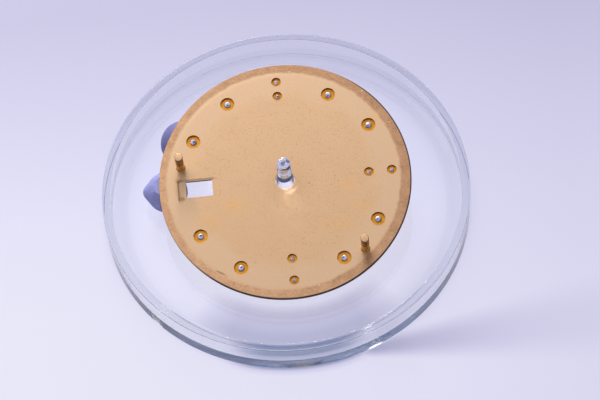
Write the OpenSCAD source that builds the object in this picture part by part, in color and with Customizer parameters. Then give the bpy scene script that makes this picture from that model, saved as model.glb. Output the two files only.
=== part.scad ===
// Watch dial lying back side up on the centre peg of a clear round dish,
// propped at one side by two balls of dial putty.
// +Z is up, and the origin is the centre of the dish's flat underside.
// The dial has its own frame: X' and Y' in its plane with 12 o'clock along +Y',
// Z' out of its back, and its origin in the middle of the back face.

/* [Dish] */
// Outside diameter of the dish
dish_d = 41; // [39:0.5:46]
// Height of the dish, from its underside to the rim
dish_h = 4.05; // [3:0.05:5]
// Thickness of the upright wall
dish_wall = 0.85; // [0.6:0.05:1.4]
// Thickness of the floor
dish_floor = 1.1; // [0.9:0.05:1.6]
// Radius of the rounded inner corner between floor and wall
dish_corner_r = 0.1; // [0.05:0.05:1.2]
// Rounding of the rim's edges
dish_rim_r = 0.25; // [0.05:0.01:0.3]
// Rounding of the outer bottom edge
dish_foot_r = 0.25; // [0.05:0.05:0.5]

/* [Centre peg] */
// Diameter of the peg below its taper
peg_base_d = 2; // [1.6:0.02:2.04]
// Diameter of the peg where its steep taper ends
peg_waist_d = 1.58; // [1.5:0.01:1.9]
// Diameter of the peg below its rounded tip
peg_tip_d = 1.49; // [1.1:0.01:1.56]
// Height of the peg's tip above the table
peg_top = 9.35; // [8:0.05:12]
// Height of the taper's lower end above the dial's back, at the hole
peg_taper_above = 0.15; // [0:0.05:0.5]
// Length of the steep taper, above which the peg narrows slowly to its tip
peg_taper_h = 1.35; // [0.3:0.05:1.6]
// Rounding of the peg's tip
peg_tip_r = 0.4; // [0.1:0.05:0.5]
// Depth of the socket in the floor that holds the peg
peg_socket_depth = 0.7; // [0.4:0.05:0.8]

/* [Dial plate] */
// Diameter of the dial
dial_d = 28; // [27:0.1:29]
// Thickness of the dial plate
dial_t = 0.4; // [0.35:0.05:0.6]
// Height of the middle of the centre hole above the table
dial_z = 5.32; // [5:0.1:6]
// Lean of the dial away from level
dial_tilt = 8.6; // [6:0.1:9]
// Compass direction in which the dial's back leans
dial_heading = 264.3; // [250:0.1:280]
// Turn of the dial in its own plane
dial_turn = 0.35; // [-3:0.05:3]
// Diameter of the centre hole
centre_hole_d = 2.15; // [2.15:0.05:2.4]
// Diameter of the countersink round the centre hole
centre_sink_d = 2.65; // [2.5:0.05:3.2]
// Depth of that countersink
centre_sink_depth = 0.1; // [0.05:0.01:0.2]
// Width of the sunk band round the edge of the back
rim_band_w = 1.1; // [0.6:0.05:1.2]
// Depth of the sunk band
rim_band_depth = 0.07; // [0.03:0.01:0.12]
// Bevel on the front edge
front_bevel = 0.12; // [0.05:0.01:0.2]

/* [Date window] */
// Radial width of the window
window_w = 2.95; // [2.2:0.05:3.2]
// Height of the window
window_h = 1.94; // [1.4:0.02:2.1]
// Distance of the window's middle from the dial's centre
window_r = 9.55; // [9:0.05:9.8]
// Margin of the milled pocket beyond the window, outwards
pocket_out = 0.88; // [0.3:0.02:1]
// Margin of the milled pocket beyond the window, towards the centre
pocket_in = 1.45; // [0.6:0.05:2]
// Margin of the milled pocket above the window
pocket_above = 0.28; // [0.1:0.02:0.6]
// Margin of the milled pocket below the window
pocket_below = 1.05; // [0.4:0.05:1.5]
// Radius of the pocket's corners next to the rim
pocket_outer_r = 0.3; // [0.15:0.05:0.6]
// Radius of the pocket's corners next to the centre
pocket_inner_r = 1.2; // [0.5:0.05:1.4]
// Depth of the milled pocket
pocket_depth = 0.08; // [0.03:0.01:0.15]
// Width of the deeper slot along the pocket's outer side
pocket_slot_w = 0.44; // [0.3:0.02:0.5]
// Depth of that slot
pocket_slot_depth = 0.14; // [0.1:0.01:0.2]

/* [Dial feet] */
// Diameter of each dial foot
foot_d = 0.92; // [0.7:0.02:1]
// Length of each dial foot
foot_l = 3.1; // [2:0.1:3.5]
// Distance of the foot near 3 o'clock from the centre
foot_near_3_r = 11.72; // [11:0.02:12]
// Direction of the foot near 3 o'clock
foot_near_3_angle = 166.9; // [160:0.1:167.5]
// Distance of the foot near 7 o'clock from the centre
foot_near_7_r = 12.08; // [11.5:0.02:12.2]
// Direction of the foot near 7 o'clock
foot_near_7_angle = 311.9; // [308:0.1:320]
// Chamfer on the free end of a foot
foot_chamfer = 0.06; // [0.02:0.01:0.15]
// Width of the solder fillet round a foot
solder_w = 0.14; // [0.05:0.01:0.2]

/* [Round markers] */
// Distance of the round markers from the dial's centre
round_r = 11.33; // [11:0.01:11.5]
// Diameter of a round stone
round_stone_d = 1.5; // [1.2:0.05:1.6]
// Depth of a stone below its widest line
round_stone_pavilion = 0.5; // [0.35:0.05:0.6]
// Height of a stone above its widest line
round_stone_crown = 0.2; // [0.1:0.02:0.3]
// Wall of a cup round its stone
cup_wall = 0.17; // [0.12:0.01:0.25]
// Metal between a cup's seat and the dial
cup_base_t = 0.15; // [0.1:0.01:0.25]
// Diameter of a cup where it meets the dial
cup_foot_d = 1.2; // [1:0.05:1.4]
// Diameter of the four claws that hold a stone
claw_d = 0.3; // [0.2:0.02:0.36]
// Diameter of the riveted stem
round_stem_d = 0.62; // [0.5:0.02:0.7]
// Diameter of the counterbore round the riveted stem
round_sink_d = 1.58; // [1.3:0.02:1.7]

/* [Long markers] */
// Distance of the inner foot of the 6 and 9 markers
long_inner_r = 9.32; // [9.1:0.02:9.6]
// Distance of the outer foot of the 6 and 9 markers
long_outer_r = 11.87; // [11.5:0.01:11.9]
// Distance of the inner foot of the 12 marker
twelve_inner_r = 10.2; // [9.8:0.05:10.6]
// Distance of the outer foot of the 12 marker
twelve_outer_r = 11.94; // [11.5:0.02:11.94]
// Length of a long marker beyond each of its feet
long_end = 0.4; // [0.25:0.01:0.42]
// Width of a long marker
long_w = 1.3; // [1.1:0.05:1.6]
// Height of a long marker above the dial's front
long_h = 0.7; // [0.5:0.05:0.8]
// Wall of a long setting round its stone
long_wall = 0.16; // [0.1:0.01:0.25]
// Depth of the long stone in its setting
long_stone_depth = 0.42; // [0.3:0.02:0.45]
// Height of the long stone's bevelled crown
long_stone_crown = 0.14; // [0.08:0.02:0.2]
// Width of the groove between the two bars of the 12 marker
twelve_groove_w = 0.26; // [0.15:0.01:0.4]
// Diameter of the riveted feet of the long markers
long_stem_d = 0.42; // [0.35:0.01:0.5]
// Diameter of the counterbore round a long marker's foot
long_sink_d = 1.08; // [0.9:0.02:1.2]

/* [Riveting] */
// Depth of the counterbores in the dial's back
sink_depth = 0.26; // [0.15:0.01:0.28]
// Height of a riveted end above its counterbore's floor
rivet_proud = 0.1; // [0.04:0.01:0.14]
// Diameter of the punch dimple in a riveted end
dimple_d = 0.2; // [0.1:0.02:0.26]
// Depth of the punch dimple
dimple_depth = 0.05; // [0.02:0.01:0.08]

/* [Putty] */
// Diameter of the left ball before it is squeezed
putty_left_d = 4.6; // [4.4:0.1:5.2]
// Diameter of the far ball before it is squeezed
putty_far_d = 5.1; // [5:0.1:5.6]
// Radius of the nose drawn out of the left ball
putty_nose_r = 1; // [0.6:0.1:1.6]
// Distance between the ball's middle and its nose's, over the difference of their radii
putty_nose_run = 1.3; // [1.1:0.05:1.8]
// How far the left ball reaches out beyond the dial's edge
putty_past_rim = 2; // [1.5:0.1:2.4]
// How much less the far ball reaches out than the left one
putty_far_inset = 0.3; // [0:0.1:0.6]
// Direction of the left ball
putty_left_angle = 175; // [168:1:178]
// Direction of the far ball
putty_far_angle = 147.5; // [142:0.5:150]

/* [Fits] */
// Clearance of the peg in its floor socket
socket_clearance = 0.01; // [0.005:0.005:0.03]
// Clearance of a stem in its dial hole
stem_clearance = 0.01; // [0.005:0.005:0.03]
// Clearance of a stone in its setting
stone_clearance = 0.015; // [0.01:0.005:0.03]
// Gap between the dial's front and the putty
putty_gap = 0.06; // [0.03:0.01:0.15]
// Gap between the turning markers and the groove they press in the putty
groove_clearance = 0.3; // [0.2:0.05:0.4]

/* [Hidden] */

$fn = 96;
eps = 0.02;

round_hours = [1, 2, 4, 5, 7, 8, 10, 11];
dish_inner_r = dish_d / 2 - dish_wall;
peg_root_z = dish_floor - peg_socket_depth;
peg_taper_z = dial_z + dial_t / 2 + peg_taper_above;
rim_r = dial_d / 2 - rim_band_w;
cup_r = round_stone_d / 2 + stone_clearance + cup_wall;
cup_h = cup_base_t + round_stone_pavilion;
claw_r = cup_r - claw_d / 2 + 0.06;
claw_tip = cup_h + round_stone_crown / 2;
marker_h = max(claw_tip, long_h);
marker_inner_r = min(long_inner_r, twelve_inner_r) - long_end;
marker_outer_r = max(round_r + claw_r + claw_d / 2, long_outer_r + long_end, twelve_outer_r + long_end);
putty_reach = dial_d / 2 + putty_past_rim;
putty_far_reach = putty_reach - putty_far_inset;

gold = [0.85, 0.68, 0.4];
bright_gold = [0.9, 0.66, 0.25];
silver = [0.86, 0.86, 0.9];
clear = [0.85, 0.88, 0.95, 0.35];
stone_white = [0.92, 0.95, 1];
violet = [0.53, 0.53, 0.78];

// Clock hours run anticlockwise here, because the dial is seen from its back.
function hour_angle(hour) = 90 + 30 * hour;

// Height of the dial's front face above the table at a place on the dish.
function front_z(x, y) =
    dial_z - dial_t / 2 / cos(dial_tilt)
    - tan(dial_tilt) * (x * cos(dial_heading) + y * sin(dial_heading));

// Puts children drawn in the dial's frame where the dial lies on the peg.
module on_dial() {
    translate([0, 0, dial_z])
        rotate([0, 0, dial_heading])
            rotate([0, dial_tilt, 0])
                rotate([0, 0, dial_turn - dial_heading])
                    translate([0, 0, dial_t / 2])
                        children();
}

// Puts children at a radius and direction on the dial, with X' outwards.
module at_polar(r, angle) {
    rotate([0, 0, angle])
        translate([r, 0, 0])
            children();
}

// Turns children over onto the dial's front face, with +Z away from the dial.
module on_front() {
    translate([0, 0, -dial_t])
        mirror([0, 0, 1])
            children();
}

module dish_section() {
    r_out = dish_d / 2;
    rim_mid = dish_h - dish_rim_r;
    difference() {
        union() {
            square([r_out - dish_foot_r, dish_floor]);
            translate([dish_inner_r, dish_foot_r])
                square([dish_wall, rim_mid - dish_foot_r]);
            translate([r_out - dish_foot_r, dish_foot_r])
                circle(r = dish_foot_r);
            translate([dish_inner_r + dish_rim_r, rim_mid])
                circle(r = dish_rim_r);
            translate([r_out - dish_rim_r, rim_mid])
                circle(r = dish_rim_r);
            translate([dish_inner_r + dish_rim_r, rim_mid - eps])
                square([dish_wall - 2 * dish_rim_r, dish_rim_r + eps]);
            translate([dish_inner_r - dish_corner_r, dish_floor - eps])
                square([dish_corner_r + eps, dish_corner_r + eps]);
        }
        translate([dish_inner_r - dish_corner_r, dish_floor + dish_corner_r])
            circle(r = dish_corner_r);
    }
}

module dish() {
    color(clear)
        difference() {
            rotate_extrude($fn = 180)
                dish_section();
            translate([0, 0, peg_root_z])
                cylinder(d = peg_base_d + 2 * socket_clearance, h = dish_floor);
        }
}

module centre_peg() {
    taper_top = peg_taper_z + peg_taper_h;
    tip_r = peg_tip_d / 2;
    color(clear)
        rotate_extrude()
            union() {
                translate([0, peg_root_z])
                    square([peg_base_d / 2, peg_taper_z - peg_root_z]);
                polygon([[0, peg_taper_z - eps], [peg_base_d / 2, peg_taper_z - eps],
                         [peg_base_d / 2, peg_taper_z], [peg_waist_d / 2, taper_top],
                         [tip_r, peg_top - peg_tip_r], [0, peg_top - peg_tip_r]]);
                translate([0, peg_top - peg_tip_r - eps])
                    square([tip_r - peg_tip_r, peg_tip_r + eps]);
                intersection() {
                    translate([tip_r - peg_tip_r, peg_top - peg_tip_r])
                        circle(r = peg_tip_r);
                    square([tip_r, peg_top]);
                }
            }
}

// Everything that the turning dial sweeps, with its clearances, measured out of its front.
module dial_sweep() {
    r_in = marker_inner_r - groove_clearance;
    r_out = marker_outer_r + groove_clearance;
    translate([0, 0, putty_gap - putty_far_d])
        cylinder(r = putty_reach + putty_far_d, h = putty_far_d);
    rotate_extrude()
        translate([r_in, 0])
            square([r_out - r_in, marker_h + groove_clearance]);
}

// A ball about the origin with a nose drawn out along +Z.
module nosed_ball(r) {
    run = putty_nose_run * (r - putty_nose_r);
    lift = 1 / putty_nose_run;
    side = sqrt(1 - lift * lift);
    rotate_extrude()
        union() {
            intersection() {
                circle(r = r);
                translate([0, -r])
                    square([r, 2 * r]);
            }
            polygon([[0, 0], [r * side, r * lift],
                     [putty_nose_r * side, run + putty_nose_r * lift],
                     [0, run + putty_nose_r * lift]]);
            intersection() {
                translate([0, run])
                    circle(r = putty_nose_r);
                translate([0, run])
                    square([putty_nose_r, putty_nose_r]);
            }
        }
}

// A ball squeezed between the dish's floor and the dial's front, its nose pointing outwards.
module putty_ball(angle, reach, ball_d, nosed) {
    away = reach - ball_d / 2;
    room = front_z(away * cos(angle), away * sin(angle)) - dish_floor;
    r = max(ball_d / 2, 0.53 * room);
    middle = nosed ? reach - putty_nose_r - putty_nose_run * (r - putty_nose_r) : reach - r;
    x = middle * cos(angle);
    y = middle * sin(angle);
    color(violet)
        difference() {
            translate([x, y, (dish_floor + front_z(x, y)) / 2])
                if (nosed) {
                    rotate([0, 90, angle])
                        nosed_ball(r);
                } else {
                    sphere(r = r);
                }
            translate([x, y, dish_floor - 2 * r])
                cylinder(r = 3 * r, h = 2 * r);
            on_dial()
                on_front()
                    dial_sweep();
        }
}

module window_pocket_outline() {
    out_x = window_r + window_w / 2 + pocket_out;
    in_x = window_r - window_w / 2 - pocket_in;
    top_y = window_h / 2 + pocket_above;
    low_y = -window_h / 2 - pocket_below;
    r_o = pocket_outer_r;
    r_i = pocket_inner_r;
    translate([in_x + r_i, low_y])
        square([out_x - r_o - in_x - r_i, top_y - low_y]);
    translate([out_x - r_o - eps, low_y + r_o])
        square([r_o + eps, top_y - low_y - 2 * r_o]);
    translate([in_x, low_y + r_i])
        square([r_i + eps, top_y - low_y - 2 * r_i]);
    for (y = [low_y + r_o, top_y - r_o])
        translate([out_x - r_o, y])
            circle(r = r_o);
    for (y = [low_y + r_i, top_y - r_i])
        translate([in_x + r_i, y])
            circle(r = r_i);
}

module window_pocket_slot() {
    out_x = window_r + window_w / 2 + pocket_out;
    half = pocket_slot_w / 2;
    hull()
        for (y = [window_h / 2 + 0.08 - half, -window_h / 2 - 0.32 + half])
            translate([out_x - half, y])
                circle(r = half);
}

module stem_hole(stem_d, sink_d) {
    translate([0, 0, -dial_t - eps])
        cylinder(d = stem_d + 2 * stem_clearance, h = dial_t + 2 * eps);
    translate([0, 0, -sink_depth])
        cylinder(d = sink_d, h = sink_depth + eps);
}

module dial_blank() {
    rotate_extrude($fn = 180)
        polygon([[0, 0], [rim_r, 0], [rim_r, -rim_band_depth], [dial_d / 2, -rim_band_depth],
                 [dial_d / 2, front_bevel - dial_t], [dial_d / 2 - front_bevel, -dial_t],
                 [0, -dial_t]]);
}

module dial_plate() {
    color(gold)
        on_dial()
            difference() {
                dial_blank();
                translate([0, 0, -dial_t - eps])
                    cylinder(d = centre_hole_d, h = dial_t + 2 * eps);
                translate([0, 0, -centre_sink_depth])
                    cylinder(d1 = centre_hole_d, d2 = centre_sink_d, h = centre_sink_depth);
                mirror([1, 0, 0]) {
                    translate([window_r - window_w / 2, -window_h / 2, -dial_t - eps])
                        cube([window_w, window_h, dial_t + 2 * eps]);
                    translate([0, 0, -pocket_depth])
                        linear_extrude(pocket_depth + eps)
                            window_pocket_outline();
                    translate([0, 0, -pocket_slot_depth])
                        linear_extrude(pocket_slot_depth + eps)
                            window_pocket_slot();
                }
                for (hour = round_hours)
                    at_polar(round_r, hour_angle(hour))
                        stem_hole(round_stem_d, round_sink_d);
                for (hour = [6, 9], r = [long_inner_r, long_outer_r])
                    at_polar(r, hour_angle(hour))
                        stem_hole(long_stem_d, long_sink_d);
                for (r = [twelve_inner_r, twelve_outer_r])
                    at_polar(r, hour_angle(12))
                        stem_hole(long_stem_d, long_sink_d);
            }
}

module dial_foot(r, angle) {
    color(bright_gold)
        on_dial()
            at_polar(r, angle)
                rotate_extrude($fn = 48)
                    polygon([[0, 0], [foot_d / 2 + solder_w, 0], [foot_d / 2, solder_w],
                             [foot_d / 2, foot_l - foot_chamfer],
                             [foot_d / 2 - foot_chamfer, foot_l], [0, foot_l]]);
}

module dial_foot_near_3() {
    dial_foot(foot_near_3_r, foot_near_3_angle);
}

module dial_foot_near_7() {
    dial_foot(foot_near_7_r, foot_near_7_angle);
}

// A riveted stem from a marker's base up into its counterbore, with +Z out of the front.
module stem(stem_d) {
    top = dial_t - sink_depth + rivet_proud;
    difference() {
        translate([0, 0, -top])
            cylinder(d = stem_d, h = top + eps, $fn = 48);
        translate([0, 0, -top - eps])
            cylinder(d1 = dimple_d, d2 = dimple_d / 2, h = dimple_depth + eps, $fn = 24);
    }
}

module cup() {
    seat_r = round_stone_d / 2 + stone_clearance;
    difference() {
        union() {
            cylinder(d1 = cup_foot_d, d2 = 2 * cup_r, h = cup_h, $fn = 48);
            for (turn = [45 : 90 : 315])
                at_polar(claw_r, turn)
                    cylinder(d = claw_d, h = claw_tip, $fn = 24);
        }
        translate([0, 0, cup_base_t])
            cylinder(r1 = 0.04, r2 = seat_r, h = round_stone_pavilion, $fn = 48);
        translate([0, 0, cup_h - eps])
            cylinder(r = seat_r, h = claw_tip, $fn = 48);
    }
}

module round_setting(hour) {
    color(silver)
        on_dial()
            at_polar(round_r, hour_angle(hour))
                on_front() {
                    stem(round_stem_d);
                    cup();
                }
}

// Two crossed eight-sided cones give the sixteen main facets of a brilliant cut.
module round_stone(hour) {
    girdle_r = round_stone_d / 2;
    table_r = girdle_r * 0.55;
    culet_r = 0.03;
    color(stone_white)
        on_dial()
            at_polar(round_r, hour_angle(hour))
                on_front()
                    translate([0, 0, cup_h])
                        intersection_for(turn = [0, 22.5])
                            rotate([0, 0, turn])
                                union() {
                                    translate([0, 0, stone_clearance - round_stone_pavilion])
                                        cylinder(r1 = culet_r, r2 = girdle_r,
                                                 h = round_stone_pavilion - stone_clearance, $fn = 8);
                                    cylinder(r1 = girdle_r, r2 = table_r, h = round_stone_crown, $fn = 8);
                                }
}

// A step-cut stone: a rectangular block under a crown that slopes in at 45 degrees.
module step_cut(length, width, depth, crown) {
    hull() {
        translate([0, 0, depth / 2])
            cube([length, width, depth], center = true);
        translate([0, 0, (depth + crown) / 2])
            cube([length - 2 * crown, width - 2 * crown, depth + crown], center = true);
    }
}

module long_setting(hour) {
    inner = long_inner_r - long_end;
    outer = long_outer_r + long_end;
    floor_t = long_h - long_stone_depth;
    color(silver)
        on_dial()
            rotate([0, 0, hour_angle(hour)])
                on_front() {
                    for (r = [long_inner_r, long_outer_r])
                        translate([r, 0, 0])
                            stem(long_stem_d);
                    difference() {
                        translate([inner, -long_w / 2, 0])
                            cube([outer - inner, long_w, long_h]);
                        translate([inner + long_wall, long_wall - long_w / 2, floor_t])
                            cube([outer - inner - 2 * long_wall, long_w - 2 * long_wall, long_h]);
                    }
                }
}

module long_stone(hour) {
    inner = long_inner_r - long_end;
    outer = long_outer_r + long_end;
    inset = 2 * (long_wall + stone_clearance);
    color(stone_white)
        on_dial()
            at_polar((inner + outer) / 2, hour_angle(hour))
                on_front()
                    translate([0, 0, long_h - long_stone_depth + stone_clearance])
                        step_cut(outer - inner - inset, long_w - inset,
                                 long_stone_depth - stone_clearance, long_stone_crown);
}

module marker_12() {
    inner = twelve_inner_r - long_end;
    outer = twelve_outer_r + long_end;
    bevel = 0.2;
    color(silver)
        on_dial()
            rotate([0, 0, hour_angle(12)])
                on_front() {
                    for (r = [twelve_inner_r, twelve_outer_r])
                        translate([r, 0, 0])
                            stem(long_stem_d);
                    difference() {
                        translate([inner, -long_w / 2, 0])
                            cube([outer - inner, long_w, long_h]);
                        translate([inner - eps, -twelve_groove_w / 2, long_h / 3])
                            cube([outer - inner + 2 * eps, twelve_groove_w, long_h]);
                        for (side = [-1, 1])
                            translate([0, side * long_w / 2, long_h])
                                rotate([45, 0, 0])
                                    cube([3 * dial_d, bevel, bevel], center = true);
                    }
                }
}

dish();
centre_peg();
putty_ball(putty_left_angle, putty_reach, putty_left_d, true);  // putty_left
putty_ball(putty_far_angle, putty_far_reach, putty_far_d, false);  // putty_far
dial_plate();
dial_foot_near_3();
dial_foot_near_7();
round_setting(1);  // round_setting_1
round_setting(2);  // round_setting_2
round_setting(4);  // round_setting_4
round_setting(5);  // round_setting_5
round_setting(7);  // round_setting_7
round_setting(8);  // round_setting_8
round_setting(10);  // round_setting_10
round_setting(11);  // round_setting_11
round_stone(1);  // round_stone_1
round_stone(2);  // round_stone_2
round_stone(4);  // round_stone_4
round_stone(5);  // round_stone_5
round_stone(7);  // round_stone_7
round_stone(8);  // round_stone_8
round_stone(10);  // round_stone_10
round_stone(11);  // round_stone_11
long_setting(6);  // long_setting_6
long_setting(9);  // long_setting_9
long_stone(6);  // long_stone_6
long_stone(9);  // long_stone_9
marker_12();
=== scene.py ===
import math

import bmesh
import bpy
from mathutils import Euler, Matrix, Vector


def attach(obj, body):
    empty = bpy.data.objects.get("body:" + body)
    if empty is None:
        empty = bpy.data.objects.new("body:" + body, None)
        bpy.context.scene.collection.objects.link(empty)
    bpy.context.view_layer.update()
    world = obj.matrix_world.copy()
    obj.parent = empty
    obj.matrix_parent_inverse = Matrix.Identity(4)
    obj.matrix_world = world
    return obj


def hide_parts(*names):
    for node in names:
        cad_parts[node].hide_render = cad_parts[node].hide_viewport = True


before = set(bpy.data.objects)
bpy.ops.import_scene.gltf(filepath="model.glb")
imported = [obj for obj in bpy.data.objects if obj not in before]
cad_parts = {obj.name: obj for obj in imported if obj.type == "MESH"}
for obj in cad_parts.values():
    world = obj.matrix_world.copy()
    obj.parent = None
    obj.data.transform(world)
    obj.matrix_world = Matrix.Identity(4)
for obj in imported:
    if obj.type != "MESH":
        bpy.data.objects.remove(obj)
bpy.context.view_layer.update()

# Sizes in millimetres and angles in degrees, as the part's own source has them.
MM = 0.001
DISH_R = 20.5
DISH_H = 4.05
DISH_WALL = 0.85
DISH_FLOOR = 1.1
SOCKET_R = 1.01
SOCKET_Z = 0.4
PEG_R = 1.0
PEG_TOP = 9.35
DIAL_R = 14.0
DIAL_T = 0.4
DIAL_Z = 5.32
DIAL_TILT = 8.6
DIAL_HEADING = 264.3
DIAL_TURN = 0.35
DIAL_HOLE_R = 1.075
RIM_R = 12.9
RIM_STEP = 0.012
WINDOW_W, WINDOW_H, WINDOW_R = 2.95, 1.94, 9.55
SINK_DEPTH = 0.26
ROUND_R = 11.33
ROUND_SINK_R = 0.79
ROUND_STEM_R = 0.31
ROUND_HOURS = (1, 2, 4, 5, 7, 8, 10, 11)
LONG_FEET = {6: (9.32, 11.87), 9: (9.32, 11.87), 12: (10.2, 11.94)}
LONG_SINK_R = 0.54
LONG_STEM_R = 0.21
LONG_W = 1.3
LONG_H = 0.7
FOOT_R = 0.46
FOOT_L = 3.1
FEET = {"dial_foot_near_3": (11.72, 166.9), "dial_foot_near_7": (12.08, 311.9)}

# Cutting tools start this far above the dial's back, and through holes end this far below it.
CUT_TOP = 0.2
CUT_BOTTOM = -0.6

on_dial = (
    Matrix.Translation((0, 0, DIAL_Z))
    @ Matrix.Rotation(math.radians(DIAL_HEADING), 4, "Z")
    @ Matrix.Rotation(math.radians(DIAL_TILT), 4, "Y")
    @ Matrix.Rotation(math.radians(DIAL_TURN - DIAL_HEADING), 4, "Z")
    @ Matrix.Translation((0, 0, DIAL_T / 2))
)
on_dish = Matrix.Identity(4)


def hour_angle(hour):
    """Direction of an hour seen from the dial's back, in degrees."""
    return 90 + 30 * hour


def at_polar(radius, angle):
    """Placement at a radius and direction, with X outwards."""
    return Matrix.Rotation(math.radians(angle), 4, "Z") @ Matrix.Translation((radius, 0, 0))


def on_front(radius, angle):
    """Placement on the dial's front face, turned over so that +Z points away from the dial."""
    return (on_dial @ at_polar(radius, angle) @ Matrix.Translation((0, 0, -DIAL_T))
            @ Matrix.Rotation(math.pi, 4, "X"))


# Modelling helpers. Pieces are shaped in millimetres, and place() takes them to metres.
def deselect():
    bpy.ops.object.select_all(action="DESELECT")


def only(piece):
    """Selects one piece and nothing else."""
    deselect()
    piece.select_set(True)
    bpy.context.view_layer.objects.active = piece


def open_edit(piece):
    """Enters edit mode on a piece with nothing selected."""
    only(piece)
    bpy.ops.object.mode_set(mode="EDIT")
    bpy.ops.mesh.select_mode(type="FACE")
    bpy.ops.mesh.select_all(action="DESELECT")


def close_edit():
    bpy.ops.object.mode_set(mode="OBJECT")


def pick(kind, test):
    """Selects the faces or edges that a test accepts, in edit mode."""
    bpy.ops.mesh.select_mode(type={"faces": "FACE", "edges": "EDGE"}[kind])
    bpy.ops.mesh.select_all(action="DESELECT")
    shape = bmesh.from_edit_mesh(bpy.context.edit_object.data)
    shape.normal_update()
    for element in getattr(shape, kind):
        element.select_set(bool(test(element)))
    shape.select_flush_mode()
    bmesh.update_edit_mesh(bpy.context.edit_object.data)


def pick_top():
    """Selects the faces that look up, in edit mode."""
    pick("faces", lambda f: f.normal.z > 0.9)


def rename(piece, name):
    piece.name = name
    piece.data.name = name
    return piece


def applied(name):
    """The piece just added, named, with its placement moved into its mesh."""
    piece = rename(bpy.context.object, name)
    bpy.ops.object.transform_apply(location=True, rotation=True, scale=True)
    return piece


def drum(name, radius, low, high, sides, top_radius=None):
    """A closed drum about Z between two heights."""
    deselect()
    bpy.ops.mesh.primitive_cone_add(
        vertices=sides, radius1=radius, radius2=radius if top_radius is None else top_radius,
        depth=high - low, location=(0, 0, (low + high) / 2))
    return applied(name)


def block(name, low, high):
    """A box between two corners."""
    deselect()
    bpy.ops.mesh.primitive_cube_add(size=1, location=[(a + b) / 2 for a, b in zip(low, high)])
    bpy.context.object.scale = [b - a for a, b in zip(low, high)]
    return applied(name)


def turned(name, outline, steps):
    """A lathe piece: an outline of (radius, height) points from axis to axis, spun about Z."""
    deselect()
    bpy.ops.mesh.primitive_plane_add(size=1)
    piece = rename(bpy.context.object, name)
    bpy.ops.object.mode_set(mode="EDIT")
    shape = bmesh.from_edit_mesh(piece.data)
    bmesh.ops.delete(shape, geom=list(shape.verts)[1:], context="VERTS")
    list(shape.verts)[0].co = (outline[0][0], 0, outline[0][1])
    bmesh.update_edit_mesh(piece.data)
    bpy.ops.mesh.select_mode(type="VERT")
    bpy.ops.mesh.select_all(action="SELECT")
    for (r0, z0), (r1, z1) in zip(outline, outline[1:]):
        bpy.ops.mesh.extrude_region_move(
            TRANSFORM_OT_translate={"value": (r1 - r0, 0, z1 - z0)})
    bpy.ops.mesh.select_all(action="SELECT")
    bpy.ops.mesh.spin(steps=steps, angle=2 * math.pi, center=(0, 0, 0), axis=(0, 0, 1))
    bpy.ops.mesh.select_all(action="SELECT")
    bpy.ops.mesh.remove_doubles(threshold=1e-4)
    bpy.ops.mesh.normals_make_consistent(inside=False)
    close_edit()
    return piece


def arc(centre, radius, start, end, count):
    """Points on an arc of an outline, in degrees."""
    turns = [math.radians(start + (end - start) * i / count) for i in range(count + 1)]
    return [(centre[0] + radius * math.cos(a), centre[1] + radius * math.sin(a)) for a in turns]


def moved(piece, matrix):
    """Moves a piece's mesh and keeps its object at the origin."""
    piece.data.transform(matrix)
    piece.data.update()
    return piece


def copied(piece, name):
    """Another piece with its own copy of the mesh."""
    twin = piece.copy()
    twin.data = piece.data.copy()
    bpy.context.scene.collection.objects.link(twin)
    return rename(twin, name)


def joined(name, *parts):
    """Several parts made one mesh."""
    deselect()
    for part in parts:
        part.select_set(True)
    bpy.context.view_layer.objects.active = parts[0]
    if len(parts) > 1:
        bpy.ops.object.join()
    return rename(parts[0], name)


def combine(piece, tool, how):
    """Cuts a tool out of a piece, or welds it on, and removes the tool."""
    only(piece)
    step = piece.modifiers.new("combine", "BOOLEAN")
    step.operation = how
    step.solver = "EXACT"
    step.object = tool
    bpy.ops.object.modifier_apply(modifier=step.name)
    bpy.data.objects.remove(tool)
    return piece


def soften(piece, width, segments, angle=40):
    """Rounds a piece's sharp edges."""
    only(piece)
    step = piece.modifiers.new("soften", "BEVEL")
    step.width = width
    step.segments = segments
    step.limit_method = "ANGLE"
    step.angle_limit = math.radians(angle)
    bpy.ops.object.modifier_apply(modifier=step.name)
    return piece


def even_shading(piece):
    """Smooth shading with flat faces kept flat."""
    only(piece)
    bpy.ops.object.shade_smooth_by_angle(angle=math.radians(35))
    step = piece.modifiers.new("even", "WEIGHTED_NORMAL")
    step.keep_sharp = True
    bpy.ops.object.modifier_apply(modifier=step.name)
    return piece


def painted(piece, finishes, choose):
    """Gives a piece its finishes, and each face the number of its own from its centre and normal."""
    for finish in finishes:
        piece.data.materials.append(finish)
    for face in piece.data.polygons:
        face.material_index = choose(face.center, face.normal)
    return piece


def place(piece, body, matrix, slot, *nodes):
    """Takes a finished piece to its place in metres, on its body, for its CAD nodes."""
    moved(piece, Matrix.Scale(MM, 4) @ matrix)
    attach(piece, body)
    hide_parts(*nodes)
    return piece


# Material helpers
def colour(r, g, b):
    """A colour in ordinary 0 to 255 values as Blender's linear one."""
    def linear(v):
        v /= 255
        return v / 12.92 if v <= 0.04045 else ((v + 0.055) / 1.055) ** 2.4
    return (linear(r), linear(g), linear(b), 1)


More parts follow.
